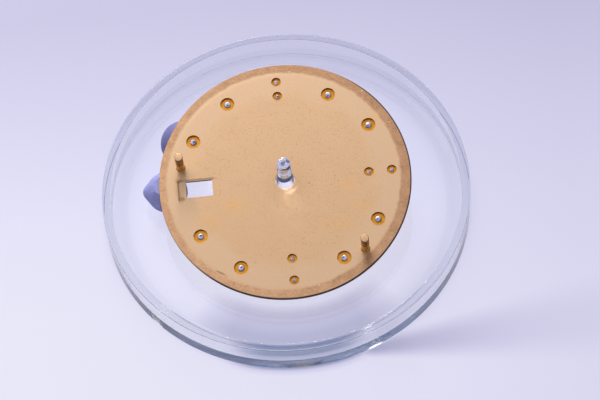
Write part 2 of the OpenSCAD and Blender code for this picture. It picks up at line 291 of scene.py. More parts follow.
class Nodes:
    """Short forms for the nodes of one material or world."""

    def __init__(self, tree):
        self.tree = tree

    def feed(self, node, inputs):
        """Sets a node's inputs to values, or links them to sockets."""
        for key, value in inputs.items():
            if isinstance(value, bpy.types.NodeSocket):
                self.tree.links.new(value, node.inputs[key])
            else:
                node.inputs[key].default_value = value

    def add(self, kind, inputs=None, **settings):
        """A new node with its settings and its inputs."""
        made = self.tree.nodes.new("ShaderNode" + kind)
        for key, value in settings.items():
            setattr(made, key, value)
        self.feed(made, inputs or {})
        return made

    def math(self, operation, a, b=0.0):
        return self.add("Math", {0: a, 1: b}, operation=operation).outputs[0]

    def plus(self, a, b):
        return self.math("ADD", a, b)

    def minus(self, a, b):
        return self.math("SUBTRACT", a, b)

    def times(self, first, *others):
        for other in others:
            first = self.math("MULTIPLY", first, other)
        return first

    def most(self, first, *others):
        """The largest of several values."""
        for other in others:
            first = self.math("MAXIMUM", first, other)
        return first

    def inside(self, value, low, high):
        """1 between two values and 0 outside them."""
        return self.times(self.math("GREATER_THAN", value, low), self.math("LESS_THAN", value, high))

    def vary(self, value, middle, share):
        """A middle value that a noise moves up and down by a share of its own range."""
        shift = self.times(self.minus(value, 0.5), share)
        return self.plus(middle, shift)

    def vector(self, operation, a, b=None, output=0):
        inputs = {0: a} if b is None else {0: a, 1: b}
        return self.add("VectorMath", inputs, operation=operation).outputs[output]

    def length(self, where):
        return self.vector("LENGTH", where, output="Value")

    def dot(self, where, direction):
        return self.vector("DOT_PRODUCT", where, direction, "Value")

    def part(self, where, axis):
        """The X, Y or Z of coordinates."""
        return self.add("SeparateXYZ", {0: where}).outputs["XYZ".index(axis)]

    def flat(self, where):
        """Coordinates with the height taken out."""
        return self.vector("MULTIPLY", where, (1, 1, 0))

    def span(self, value, start, end, low=0.0, high=1.0, smooth=False):
        """Takes a value between start and end to one between low and high, and holds it there."""
        return self.add("MapRange", {0: value, 1: start, 2: end, 3: low, 4: high},
                        interpolation_type="SMOOTHSTEP" if smooth else "LINEAR").outputs[0]

    def ramp(self, value, *stops):
        """A colour ramp from (place, colour or grey) stops."""
        made = self.add("ValToRGB", {"Fac": value})
        steps = made.color_ramp.elements
        while len(steps) < len(stops):
            steps.new(0.5)
        for step, (position, tint) in zip(steps, stops):
            step.position = position
            step.color = tint if isinstance(tint, tuple) else (tint, tint, tint, 1)
        return made.outputs["Color"]

    def blend(self, share, under, over, how="MIX"):
        """One colour laid over another by a share."""
        return self.add("Mix", {"Factor": share, 6: under, 7: over},
                        data_type="RGBA", blend_type=how).outputs[2]

    def mapped(self, where, rotation, scale=(1, 1, 1)):
        """Coordinates turned and stretched, for grain with a direction."""
        return self.add("Mapping", {"Vector": where, "Rotation": rotation, "Scale": scale}).outputs[0]

    def dial_coordinates(self):
        """Object coordinates turned into the dial's own frame, in millimetres."""
        shift, turn, size = (Matrix.Scale(MM, 4) @ on_dial).inverted().decompose()
        return self.add("Mapping", {"Vector": self.add("TexCoord").outputs["Object"], "Location": shift,
                                    "Rotation": turn.to_euler("XYZ"), "Scale": size}).outputs[0]

    def dish_coordinates(self):
        """Object coordinates in millimetres."""
        return self.mapped(self.add("TexCoord").outputs["Object"], (0, 0, 0), (1 / MM, 1 / MM, 1 / MM))

    def noise(self, where, scale, detail=3.0, rough=0.55):
        return self.add("TexNoise", {"Vector": where, "Scale": scale, "Detail": detail,
                                     "Roughness": rough}).outputs["Fac"]

    def bump(self, shader, height, strength, distance=0.00002):
        made = self.add("Bump", {"Height": height, "Strength": strength, "Distance": distance})
        self.feed(shader, {"Normal": made.outputs[0]})

    def dots(self, where, scale, share, size):
        """Small round dots: a share of a random grid's cells hold one, of varied size."""
        cell = self.add("TexVoronoi", {"Vector": where, "Scale": scale}, feature="F1")
        draw = self.add("SeparateColor", {0: cell.outputs["Color"]})
        reach = self.span(draw.outputs[1], 0.0, 1.0, size * 0.4, size)
        disc = self.span(self.math("DIVIDE", cell.outputs["Distance"], reach), 0.5, 1.0, 1.0, 0.0)
        return self.times(disc, self.math("LESS_THAN", draw.outputs[0], share))

    def blob(self, where, centre, spread, wobble=None):
        """A soft spot, 1 in its middle and 0 past its spread."""
        away = self.vector("ADD", where, (-centre[0], -centre[1], 0))
        away = self.length(self.vector("MULTIPLY", away, (1 / spread[0], 1 / spread[1], 0)))
        if wobble is not None:
            away = self.plus(away, wobble)
        return self.span(away, 0.2, 1.0, 1.0, 0.0, smooth=True)


def new_finish(name):
    """A material, its nodes and its shader."""
    finish = bpy.data.materials.new(name)
    finish.use_nodes = True
    return finish, Nodes(finish.node_tree), finish.node_tree.nodes["Principled BSDF"]


def to_surface(n, shader):
    """Takes a shader to the material's surface."""
    n.feed(n.tree.nodes["Material Output"], {"Surface": shader.outputs[0]})


def clear_plastic(name, tint, density, hazes=()):
    """Polished clear plastic that lets the lamps' and the table's light straight through.

    Its low edge is hazy at the places in hazes, and its top's outer edge is worn dull on the far side.
    """
    finish, n, shader = new_finish(name)
    where = n.dish_coordinates()
    flat = n.flat(where)
    out = n.length(flat)
    height = n.part(where, "Z")
    rough = n.ramp(n.noise(where, 1.3, 4), (0.45, 0.01), (0.75, 0.05))
    low = n.times(n.ramp(n.times(height, 0.2), (0.3, 0.35), (0.36, 0.0)),
                  n.math("GREATER_THAN", out, DISH_R - 0.45))
    for centre, spread in hazes:
        rough = n.most(rough, n.times(n.blob(flat, centre, spread), low))
    worn = n.times(n.math("GREATER_THAN", height, DISH_H - 0.17),
                   n.math("GREATER_THAN", out, DISH_R - 0.14),
                   n.math("GREATER_THAN", n.part(where, "Y"), 4.0), 0.32)
    n.feed(shader, {"Base Color": tint, "Transmission Weight": 1, "IOR": 1.5, "Roughness": n.most(rough, worn)})
    path = n.add("LightPath")
    through = n.add("BsdfTransparent", {"Color": (0.985, 0.986, 0.992, 1)})
    passing = n.most(path.outputs["Is Shadow Ray"], path.outputs["Is Diffuse Ray"])
    to_surface(n, n.add("MixShader", {0: passing, 1: shader.outputs[0], 2: through.outputs[0]}))
    depth = n.add("VolumeAbsorption", {"Color": (0.0, 0.13, 0.35, 1), "Density": density})
    n.feed(n.tree.nodes["Material Output"], {"Volume": depth.outputs[0]})
    return finish, n, shader


def dial_back_finish():
    """Frosted gilt: fine dark specks, a lighter border, a few stains, and a coarser band at the rim."""
    finish, n, shader = new_finish("gilt_back")
    where = n.flat(n.dial_coordinates())
    out = n.length(where)
    cloud = n.noise(where, 0.35, 3)
    border = n.span(n.plus(out, n.times(cloud, 2.6)), 10.6, 12.6, smooth=True)
    tone = n.blend(cloud, colour(212, 175, 136), colour(219, 183, 143))
    tone = n.blend(border, tone, colour(216, 182, 146))
    fine = n.noise(where, 6.0, 4, 0.7)
    tone = n.blend(n.ramp(fine, (0.35, 0.42), (0.75, 0.0)), tone, colour(192, 154, 114))

    # Stains: thin smears broken up by noise.
    smear = n.noise(n.mapped(where, (0, 0, 0.6), (0.5, 1.6, 1)), 1.3, 5, 0.65)
    smear = n.ramp(smear, (0.42, 0.0), (0.62, 1.0))
    stains = n.most(*[n.blob(where, centre, spread) for centre, spread in (
        ((-8.6, -3.9), (2.2, 1.5)), ((-6.0, -2.6), (2.6, 1.5)), ((8.3, -3.8), (1.6, 1.2)),
        ((6.6, -1.2), (2.0, 1.2)), ((5.4, -5.6), (2.2, 1.2)), ((-10.2, 3.4), (1.4, 1.6)),
        ((10.4, 6.2), (1.5, 1.5)))])
    tone = n.blend(n.times(stains, smear, 0.6), tone, colour(222, 172, 106))

    # Specks: fine pitting over all but the lower left, and a few larger pits.
    smooth_part = n.blob(where, (-5.5, -4.5), (7.5, 5.5))
    pitted = n.times(n.minus(1.0, n.times(border, 0.85)),
                     n.ramp(n.noise(where, 0.5, 4), (0.32, 0.35), (0.6, 1.0)),
                     n.minus(1.0, n.times(smooth_part, 0.6)))
    specks = n.times(n.most(n.dots(where, 5.6, 0.5, 0.4), n.dots(where, 3.1, 0.2, 0.3)), pitted)
    tone = n.blend(n.times(specks, 0.5), tone, colour(132, 96, 60))

    # Bright streaks on the left of the hole, and a scratch near the bottom of the rim.
    streaks = n.noise(n.mapped(where, (0, 0, 0.95), (0.35, 5.0, 1)), 1.0, 2)
    streaks = n.times(n.ramp(streaks, (0.6, 0.0), (0.72, 1.0)), n.blob(where, (-2.3, 0.9), (1.3, 1.5)))
    tone = n.blend(n.times(streaks, 0.7), tone, colour(240, 205, 160))
    scratch = n.blob(n.mapped(where, (0, 0, 0.55)), (-1.45, -12.85), (0.95, 0.16),
                     n.times(n.minus(fine, 0.5), 1.2))
    tone = n.blend(n.times(scratch, 0.7), tone, colour(118, 84, 58))

    # The sunk band: coarse grain in blotches, with a soft uneven inner edge.
    band = n.vary(n.noise(where, 0.9, 4, 0.6), out, 0.5)
    band = n.span(n.plus(band, n.dot(where, (0.014, -0.007, 0))), 12.8, 13.2, smooth=True)
    grain = n.noise(where, 3.4, 5, 0.7)
    blotches = n.plus(n.times(grain, 0.65), n.times(n.noise(where, 0.8, 3), 0.35))
    coarse = n.ramp(blotches, (0.36, colour(182, 139, 101)), (0.52, colour(203, 160, 121)),
                    (0.68, colour(220, 177, 138)))
    # Painted shade: the band darkens towards +X and +Y.
    side = n.span(n.dot(where, (0.8, 0.6, 0)), -14.0, 14.0)
    coarse = n.blend(side, coarse, n.blend(1.0, coarse, colour(226, 222, 220), "MULTIPLY"))
    nicks = n.dots(where, 2.4, 0.16, 0.3)
    coarse = n.blend(n.times(nicks, 0.4), coarse, colour(140, 100, 66))
    # Painted glints: a few small bright dots in the band.
    coarse = n.blend(n.times(n.dots(where, 1.9, 0.1, 0.22), 0.7), coarse, colour(246, 214, 172))
    tone = n.blend(band, tone, coarse)

    # A painted highlight: a bright crescent beside the centre hole, where its edge catches the light.
    ring = n.span(n.math("ABSOLUTE", n.minus(out, 1.56)), 0.06, 0.2, 1.0, 0.0)
    hole_highlight = n.times(ring, n.blob(where, (0.8, -1.5), (1.2, 1.0)), 0.7)
    tone = n.blend(hole_highlight, tone, colour(250, 222, 186))

    # Painted shade: the slot beside the window, darkened on its floor and at its two ends, and the plate's
    # outer corner at the lower right, darkened.
    for centre, spread, share in (((-11.72, 0.1), (0.72, 2.2), 0.3), ((-11.74, 1.12), (0.6, 0.42), 0.45),
                                  ((-11.55, -1.05), (0.5, 0.42), 0.7)):
        tone = n.blend(n.times(n.blob(where, centre, spread), share), tone, colour(150, 108, 72))
    corner = n.times(n.span(n.dot(where, (0.0526, -0.0483, 0)), -0.25, 0.1),
                     n.span(n.plus(out, n.times(grain, 0.06)), DIAL_R - 0.14, DIAL_R - 0.06))
    tone = n.blend(corner, tone, colour(52, 34, 34))

    shine = n.ramp(n.plus(border, n.times(fine, 0.3)), (0.0, 0.58), (1.0, 0.48))
    shine = n.plus(shine, n.times(band, grain, 0.12))
    shine = n.plus(shine, n.span(out, 1.5, 3.6, 0.06, 0.0))
    n.feed(shader, {"Base Color": tone, "Metallic": 0.8, "Roughness": shine})
    frost = n.minus(n.times(n.noise(where, 14, 5, 0.7), 0.4), specks)
    deep = n.times(n.minus(grain, nicks), 2.2)
    n.bump(shader, n.plus(n.times(frost, n.minus(1.0, band)), n.times(deep, band)), 0.5)
    return finish


def bore_finish():
    """Bright fresh gilt, painted a deeper orange in the counterbores for the light that the gilt throws on
    itself there.
    """
    finish, n, shader = new_finish("gilt_bores")
    where = n.dial_coordinates()
    tone = n.ramp(n.noise(where, 3, 3), (0.3, colour(196, 128, 30)), (0.7, colour(218, 152, 52)))
    n.feed(shader, {"Base Color": tone, "Metallic": 0.9, "Roughness": 0.32})
    n.bump(shader, n.noise(where, 9, 4), 0.25)
    return finish


def edge_finish():
    """The plate's side, painted dark for the shade that it lies in."""
    finish, n, shader = new_finish("gilt_edge")
    where = n.dial_coordinates()
    tone = n.ramp(n.noise(where, 2.4, 4), (0.3, colour(44, 28, 22)), (0.7, colour(82, 56, 40)))
    n.feed(shader, {"Base Color": tone, "Metallic": 0.3, "Roughness": 0.5})
    n.bump(shader, n.noise(where, 12, 3), 0.3)
    return finish


def dial_front_finish():
    """Champagne sunburst with a printed minute track."""
    finish, n, shader = new_finish("champagne_front")
    where = n.flat(n.dial_coordinates())
    out = n.length(where)
    rays = n.noise(n.vector("NORMALIZE", where), 60.0, 4, 0.8)
    tone = n.ramp(rays, (0.25, colour(206, 178, 128)), (0.75, colour(232, 208, 160)))
    # Each minute's stroke lies in the middle of its own sixtieth of the turn.
    turn = n.math("ARCTAN2", n.part(where, "Y"), n.part(where, "X"))
    minute = n.math("FRACT", n.plus(n.times(turn, 30 / math.pi), 30.5))
    aside = n.times(n.math("ABSOLUTE", n.minus(minute, 0.5)), n.times(out, math.pi / 30))
    track = n.times(n.math("LESS_THAN", aside, 0.045), n.inside(out, 12.75, 13.5))
    n.feed(shader, {"Base Color": n.blend(track, tone, colour(36, 33, 32)),
                    "Metallic": n.times(n.minus(1.0, track), 0.9),
                    "Roughness": n.ramp(rays, (0.2, 0.22), (0.8, 0.4))})
    n.bump(shader, rays, 0.15)
    return finish


def metal_finish(name, light, dark, roughness):
    """Metal with slight tarnish and handling marks."""
    finish, n, shader = new_finish(name)
    where = n.dial_coordinates()
    tone = n.ramp(n.noise(where, 1.6, 4), (0.3, colour(*dark)), (0.65, colour(*light)))
    rough = n.ramp(n.noise(where, 8.0, 3), (0.25, roughness * 0.7), (0.75, roughness * 1.3))
    n.feed(shader, {"Base Color": tone, "Metallic": 1, "Roughness": rough})
    n.bump(shader, n.noise(where, 12.0, 3), 0.15)
    return finish


def foot_finish():
    """Turned gilt with painted reflections: bright orange at the foot's root for the lit dial beside it,
    browner above for darker surroundings, with dark flecks above.
    """
    finish, n, shader = new_finish("gilt_feet")
    where = n.dial_coordinates()
    cloud = n.noise(where, 2.2, 4, 0.6)
    level = n.times(n.vary(cloud, n.part(where, "Z"), 1.6), 0.2)
    tone = n.ramp(level, (0.03, colour(255, 196, 100)), (0.08, colour(255, 216, 130)),
                  (0.27, colour(255, 204, 110)), (0.36, colour(200, 146, 84)), (0.6, colour(170, 124, 76)))
    flecks = n.times(n.ramp(n.noise(where, 2.8, 2), (0.56, 0.0), (0.64, 1.0)),
                     n.ramp(level, (0.3, 0.0), (0.4, 0.85)))
    n.feed(shader, {"Base Color": n.blend(flecks, tone, colour(34, 22, 16)), "Metallic": 1,
                    "Roughness": n.ramp(cloud, (0.3, 0.12), (0.7, 0.25))})
    n.bump(shader, n.noise(where, 4.5, 2), 0.8, 0.00008)
    return finish


def stone_finish():
    """Clear cut stones."""
    finish, n, shader = new_finish("cut_stone")
    where = n.dial_coordinates()
    tone = n.ramp(n.noise(where, 2.0, 2), (0.3, colour(240, 243, 250)), (0.7, colour(250, 251, 255)))
    n.feed(shader, {"Base Color": tone, "Transmission Weight": 1, "IOR": 2.2,
                    "Roughness": n.ramp(n.noise(where, 5.0, 2), (0.4, 0.0), (0.9, 0.03))})
    return finish


def putty_finish():
    """Matte violet modelling putty, with kneading marks and lint, and painted shade that darkens the far ball
    under the dial.
    """
    finish, n, shader = new_finish("violet_putty")
    where = n.dish_coordinates()
    cloud = n.noise(where, 0.8, 4)
    tone = n.ramp(cloud, (0.3, colour(151, 153, 211)), (0.7, colour(171, 173, 228)))
    # Painted shade: the far ball, under the dial, is darker.
    tone = n.blend(n.span(n.part(where, "Y"), 3.0, 7.0, smooth=True), tone, colour(116, 117, 168))
    tone = n.blend(n.times(n.dots(where, 2.2, 0.12, 0.2), 0.5), tone, colour(205, 205, 225))
    n.feed(shader, {"Base Color": tone, "Subsurface Weight": 0.15, "Subsurface Radius": (0.0006, 0.0006, 0.001),
                    "Roughness": n.ramp(cloud, (0.3, 0.5), (0.7, 0.7))})
    marks = n.noise(n.mapped(where, (0.5, 0.3, 0.8), (1, 3.2, 1)), 1.4, 3)
    n.bump(shader, n.plus(marks, n.times(n.noise(where, 9, 3), 0.25)), 0.5, 0.00012)
    return finish


# Dish and peg
def make_dish():
    inner = DISH_R - DISH_WALL
    rim, lip, foot, corner = 0.15, 0.04, 0.05, 0.04
    outline = [(0, 0)]
    outline += arc((DISH_R - foot, foot), foot, -90, 0, 6)
    outline += arc((DISH_R - rim, DISH_H - rim), rim, 0, 90, 6)
    outline += arc((inner + lip, DISH_H - lip), lip, 90, 180, 5)
    outline += arc((inner - corner, DISH_FLOOR + corner), corner, 0, -90, 8)
    outline += [(SOCKET_R, DISH_FLOOR), (SOCKET_R, SOCKET_Z), (0, SOCKET_Z)]
    dish = even_shading(turned("clear_dish", outline, 256))
    hazes = (((8.3, -18.8), (1.3, 1.3)), ((-15.4, -13.5), (1.5, 1.5)))
    dish.data.materials.append(clear_plastic("clear_dish_plastic", (0.985, 0.99, 1, 1), 42.0, hazes)[0])
    place(dish, "holder", on_dish, "clear_plastic", "dish")


def peg_finish():
    """Clear plastic with painted reflections: a blue line on its front where the peg's tapers meet, and blue
    streaks towards its tip.
    """
    clear = (0.99, 0.993, 1, 1)
    finish, n, shader = clear_plastic("clear_peg_plastic", clear, 4.0)
    where = n.dish_coordinates()
    height = n.part(where, "Z")
    wavy = n.vary(n.noise(where, 1.5, 3), height, 0.3)
    line = n.ramp(n.times(wavy, 0.1), (0.635, 0.0), (0.645, 0.92), (0.695, 0.88), (0.715, 0.0))
    line = n.times(line, n.span(n.part(where, "Y"), 0.12, -0.02))
    ragged = n.times(n.minus(n.noise(where, 3.0, 3), 0.5), 1.6)
    streaks = n.most(*[
        n.times(n.blob(n.flat(where), centre, spread, ragged), n.inside(height, low, high))
        for centre, spread, low, high in (
            ((-0.08, -0.2), (0.36, 0.42), 8.7, 9.5), ((0.45, 0.05), (0.3, 0.36), 8.5, 9.5),
            ((0.5, -0.5), (0.3, 0.36), 8.45, 9.1), ((0.1, -0.7), (0.4, 0.22), 8.7, 9.0))])
    streaks = n.math("MINIMUM", n.times(streaks, 1.7), 0.85)
    tint = n.blend(streaks, n.blend(line, clear, colour(34, 92, 184)), colour(22, 58, 128))
    n.feed(shader, {"Base Color": tint, "Transmission Weight": n.minus(1.0, n.most(line, streaks))})
    return finish


def make_peg():
    # It stands just clear of its socket's floor, so that no two clear faces lie in one place.
    bottom = SOCKET_Z + 0.01
    tip_r, tip_bend = 0.745, 0.4
    outline = [(0, bottom), (PEG_R, bottom), (PEG_R, DIAL_Z + 0.35), (0.87, DIAL_Z + 1.28),
               (0.835, DIAL_Z + 1.73)]
    outline += arc((tip_r - tip_bend, PEG_TOP - tip_bend), tip_bend, 0, 90, 8)
    outline += [(0.13, PEG_TOP), (0.05, PEG_TOP - 0.08), (0, PEG_TOP - 0.09)]
    peg = even_shading(turned("clear_peg", outline, 64))
    peg.data.materials.append(peg_finish())
    place(peg, "holder", on_dish, "clear_plastic", "centre_peg")


# Dial plate
def marker_holes():
    """Each marker hole's distance out, hour, counterbore radius and stem hole radius."""
    holes = [(ROUND_R, hour, ROUND_SINK_R, ROUND_STEM_R + 0.01) for hour in ROUND_HOURS]
    holes += [(out, hour, LONG_SINK_R, LONG_STEM_R + 0.01) for hour, feet in LONG_FEET.items() for out in feet]
    return holes


def window_pocket():
    """The tool that mills the shallow pocket round the date window, its corners rounded."""
    outer = -(WINDOW_R + WINDOW_W / 2 + 0.88)
    inner = -(WINDOW_R - WINDOW_W / 2 - 1.45)
    tool = block("pocket", (outer, -WINDOW_H / 2 - 1.05, -0.07), (inner, WINDOW_H / 2 + 0.28, 0.02))
    open_edit(tool)
    for side, radius in ((outer, 0.3), (inner, 1.2)):
        pick("edges", lambda e: all(abs(v.co.x - side) < 0.01 for v in e.verts)
             and abs(e.verts[0].co.z - e.verts[1].co.z) > 0.05)
        bpy.ops.mesh.bevel(offset=radius, segments=10, affect="EDGES")
    # Its walls slope, so that the pocket's edge stays soft.
    pick("faces", lambda f: f.normal.z < -0.9)
    bpy.ops.transform.resize(value=(0.945, 0.895, 1))
    close_edit()
    return tool


def paint_dial(plate):
    """Gives each face of the dial plate its finish, by where it lies."""
    back, bore, edge, front = range(4)
    bores = [(at_polar(out, hour_angle(hour)).translation.xy, sink_r + 0.05)
             for out, hour, sink_r, _ in marker_holes()]

    def choose(centre, normal):
        in_window = abs(centre.x + WINDOW_R) < WINDOW_W / 2 + 0.01 and abs(centre.y) < WINDOW_H / 2 + 0.01
        if abs(normal.z) < 0.95 and (centre.xy.length > DIAL_R - 0.1 or in_window and centre.z < -0.1):
            return edge
        if normal.z < -0.5:
            return front
        if centre.z < -0.004 and any((centre.xy - middle).length < reach for middle, reach in bores):
            return bore
        return back

    painted(plate, (dial_back_finish(), bore_finish(), edge_finish(), dial_front_finish()), choose)


def make_dial_plate():
    plate = drum("dial_plate_fine", DIAL_R, -DIAL_T, -RIM_STEP, 360)
    open_edit(plate)
    pick_top()
    bpy.ops.mesh.inset(thickness=DIAL_R - RIM_R - 0.26)
    for wide, rise in ((0.16, 0.2), (0.2, 0.6), (0.16, 0.2)):
        bpy.ops.mesh.inset(thickness=wide, depth=RIM_STEP * rise)
    for height, width in ((-DIAL_T, 0.12), (-RIM_STEP, 0.03)):
        pick("edges", lambda e: all(abs(v.co.z - height) < 1e-3 and abs(v.co.xy.length - DIAL_R) < 0.02
                                    for v in e.verts))
        bpy.ops.mesh.bevel(offset=width, segments=3, affect="EDGES")
    close_edit()
    sinks, holes = [], []
    for out, hour, sink_r, hole_r in marker_holes():
        spot = at_polar(out, hour_angle(hour))
        sinks.append(moved(drum("sink", sink_r, -SINK_DEPTH, CUT_TOP, 48), spot))
        holes.append(moved(drum("hole", hole_r, CUT_BOTTOM, CUT_TOP, 32), spot))
    sinks.append(drum("countersink", DIAL_HOLE_R, -0.03, 0.03, 96, DIAL_HOLE_R + 0.5))
    sinks.append(window_pocket())
    holes.append(drum("centre_hole", DIAL_HOLE_R, CUT_BOTTOM, CUT_TOP, 96))
    holes.append(block("window", (-WINDOW_R - WINDOW_W / 2, -WINDOW_H / 2, CUT_BOTTOM),
                       (-WINDOW_R + WINDOW_W / 2, WINDOW_H / 2, CUT_TOP)))
    combine(plate, joined("sinks", *sinks), "DIFFERENCE")
    combine(plate, joined("holes", *holes), "DIFFERENCE")
    # The shallow slot beside the window was milled with a round cutter lying on its side.
    slot_r, slot_depth, slot_x = 0.8, 0.08, -11.6
    slot = drum("mill_slot", slot_r, -1.08, 1.32, 128)
    moved(slot, Matrix.Translation((slot_x, 0, slot_r - slot_depth)) @ Matrix.Rotation(math.pi / 2, 4, "X"))
    combine(plate, slot, "DIFFERENCE")
    soften(plate, 0.022, 2, 50)
    even_shading(plate)
    paint_dial(plate)
    place(plate, "dial", on_dial, "gilt_plate", "dial_plate")


def make_feet():
    outline = [(0, 0), (FOOT_R + 0.06, 0), (FOOT_R + 0.03, 0.02), (FOOT_R + 0.01, 0.05), (FOOT_R, 0.1),
               (FOOT_R, FOOT_L - 0.06), (FOOT_R - 0.015, FOOT_L - 0.02), (FOOT_R - 0.05, FOOT_L), (0, FOOT_L)]
    foot = even_shading(turned("foot", outline, 64))
    painted(foot, (foot_finish(), metal_finish("gilt_foot_ends", (216, 177, 138), (204, 164, 126), 0.6)),
            lambda centre, normal: 1 if centre.z > FOOT_L - 0.01 else 0)
    for name, (radius, angle) in FEET.items():
        place(copied(foot, name + "_fine"), "dial", on_dial @ at_polar(radius, angle), "gilt_feet", name)
    bpy.data.objects.remove(foot)


# Markers. Each is modelled with +Z out of the dial's front and its stems in the dial.
RIVET_END = -0.24


def stem_outline(radius):
    """Half outline of a stem's riveted end, which lies in its counterbore."""
    return [(0, RIVET_END - 0.005), (radius * 0.7, RIVET_END), (radius * 1.05, RIVET_END + 0.015),
            (radius * 1.18, RIVET_END + 0.05), (radius * 1.14, RIVET_END + 0.085), (radius, RIVET_END + 0.09)]


def punch(piece, places, size):
    """Punches a small round dimple into each riveted end."""
    tools = []
    for spot in places:
        deselect()
        bpy.ops.mesh.primitive_uv_sphere_add(segments=24, ring_count=12, radius=size, location=spot)
        tools.append(applied("punch"))
    combine(piece, joined("punches", *tools), "DIFFERENCE")


def finish_marker(piece, finishes, radius, hour, node):
    """Rivet finish below the dial's front face and bright finish above it, and then to its place."""
    even_shading(piece)
    painted(piece, finishes, lambda centre, normal: 0 if centre.z < -0.01 else 1)
    place(piece, "dial", on_front(radius, hour_angle(hour)), "silver_settings", node)


# Direction and distance of each punch mark from its rivet's middle, seen from the back.
PUNCH_MARKS = {1: (0.02, -0.1), 2: (0.12, 0.0), 4: (0.05, 0.09), 5: (0.0, 0.1),
               7: (-0.12, 0.08), 8: (-0.13, 0.0), 10: (-0.09, -0.1), 11: (-0.02, -0.12)}


def make_round_settings(finishes):
    seat_r, seat_z, top_z = 0.765, 0.63, 0.65
    claw_r, claw_bottom, claw_top, claw_ring = 0.15, 0.05, 0.77, 0.845
    outline = stem_outline(ROUND_STEM_R) + [(ROUND_STEM_R, 0), (0.6, 0), (0.62, 0.03), (0.925, 0.6)]
    outline += [(0.93, 0.63), (0.915, top_z), (seat_r + 0.02, top_z), (seat_r, 0.635), (0.06, 0.15), (0, 0.15)]
    cup = turned("cup", outline, 48)
    for turn in (45, 135, 225, 315):
        claw = drum("claw", claw_r, claw_bottom, claw_top, 20)
        open_edit(claw)
        pick_top()
        bpy.ops.mesh.bevel(offset=0.09, segments=4, affect="EDGES")
        close_edit()
        combine(cup, moved(claw, at_polar(claw_ring, turn)), "UNION")
    # The seat is cut again so that the claws only lap over the stone's edge.
    combine(cup, drum("seat_tool", seat_r, seat_z, 0.9, 48), "DIFFERENCE")
    for hour in ROUND_HOURS:
        setting = copied(cup, "round_setting_%d_fine" % hour)
        seen = Vector((*PUNCH_MARKS[hour], 0))
        seen.rotate(Euler((0, 0, -math.radians(hour_angle(hour)))))
        punch(setting, [(seen.x, -seen.y, RIVET_END - 0.04)], 0.13)
        finish_marker(setting, finishes, ROUND_R, hour, "round_setting_%d" % hour)
    bpy.data.objects.remove(cup)


def baton(name, hour):
    """A long marker's body, centred between its feet."""
    reach = (LONG_FEET[hour][1] - LONG_FEET[hour][0]) / 2 + 0.4
    return block(name, (-reach, -LONG_W / 2, 0), (reach, LONG_W / 2, LONG_H))


def finish_baton(piece, hour, finishes, node):
    """Adds a long marker's two riveted stems, and takes it to its place."""
    middle = sum(LONG_FEET[hour]) / 2
    for radius in LONG_FEET[hour]:
        stem = turned("stem", stem_outline(LONG_STEM_R) + [(LONG_STEM_R, 0.1), (0, 0.1)], 32)
        combine(piece, moved(stem, Matrix.Translation((radius - middle, 0, 0))), "UNION")
    punch(piece, [(radius - middle + 0.03, 0.02, RIVET_END - 0.03) for radius in LONG_FEET[hour]], 0.085)
    finish_marker(piece, finishes, middle, hour, node)


def make_long_settings(finishes):
    for hour in (6, 9):
        setting = baton("long_setting_%d_fine" % hour, hour)
        open_edit(setting)
        pick_top()
        bpy.ops.mesh.inset(thickness=0.16)
        bpy.ops.mesh.extrude_region_move(TRANSFORM_OT_translate={"value": (0, 0, -0.42)})
        close_edit()
        soften(setting, 0.04, 3)
        finish_baton(setting, hour, finishes, "long_setting_%d" % hour)


def make_marker_12(finishes):
    groove_w, groove_z = 0.26, 0.2333
    marker = baton("marker_12_fine", 12)
    open_edit(marker)
    pick("edges", lambda e: all(v.co.z > 0.6 for v in e.verts) and abs(e.verts[0].co.x - e.verts[1].co.x) > 1)
    bpy.ops.mesh.bevel(offset=0.14, segments=1, affect="EDGES")
    close_edit()
    combine(marker, block("groove", (-3, -groove_w / 2, groove_z), (3, groove_w / 2, 1)), "DIFFERENCE")
    soften(marker, 0.025, 2)
    finish_baton(marker, 12, finishes, "marker_12")


make_dish()
make_peg()
make_dial_plate()
make_feet()
marker_finishes = (metal_finish("rivet_ends", (186, 182, 198), (122, 118, 134), 0.38),
                   metal_finish("bright_settings", (232, 230, 232), (206, 204, 208), 0.14))
make_round_settings(marker_finishes)
make_long_settings(marker_finishes)
make_marker_12(marker_finishes)

# The stones and the putty show their CAD shapes.
stones = stone_finish()
putty = putty_finish()
for name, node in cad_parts.items():
    if "stone" in name or "putty" in name:
        node.data.materials.clear()
        node.data.materials.append(stones if "stone" in name else putty)


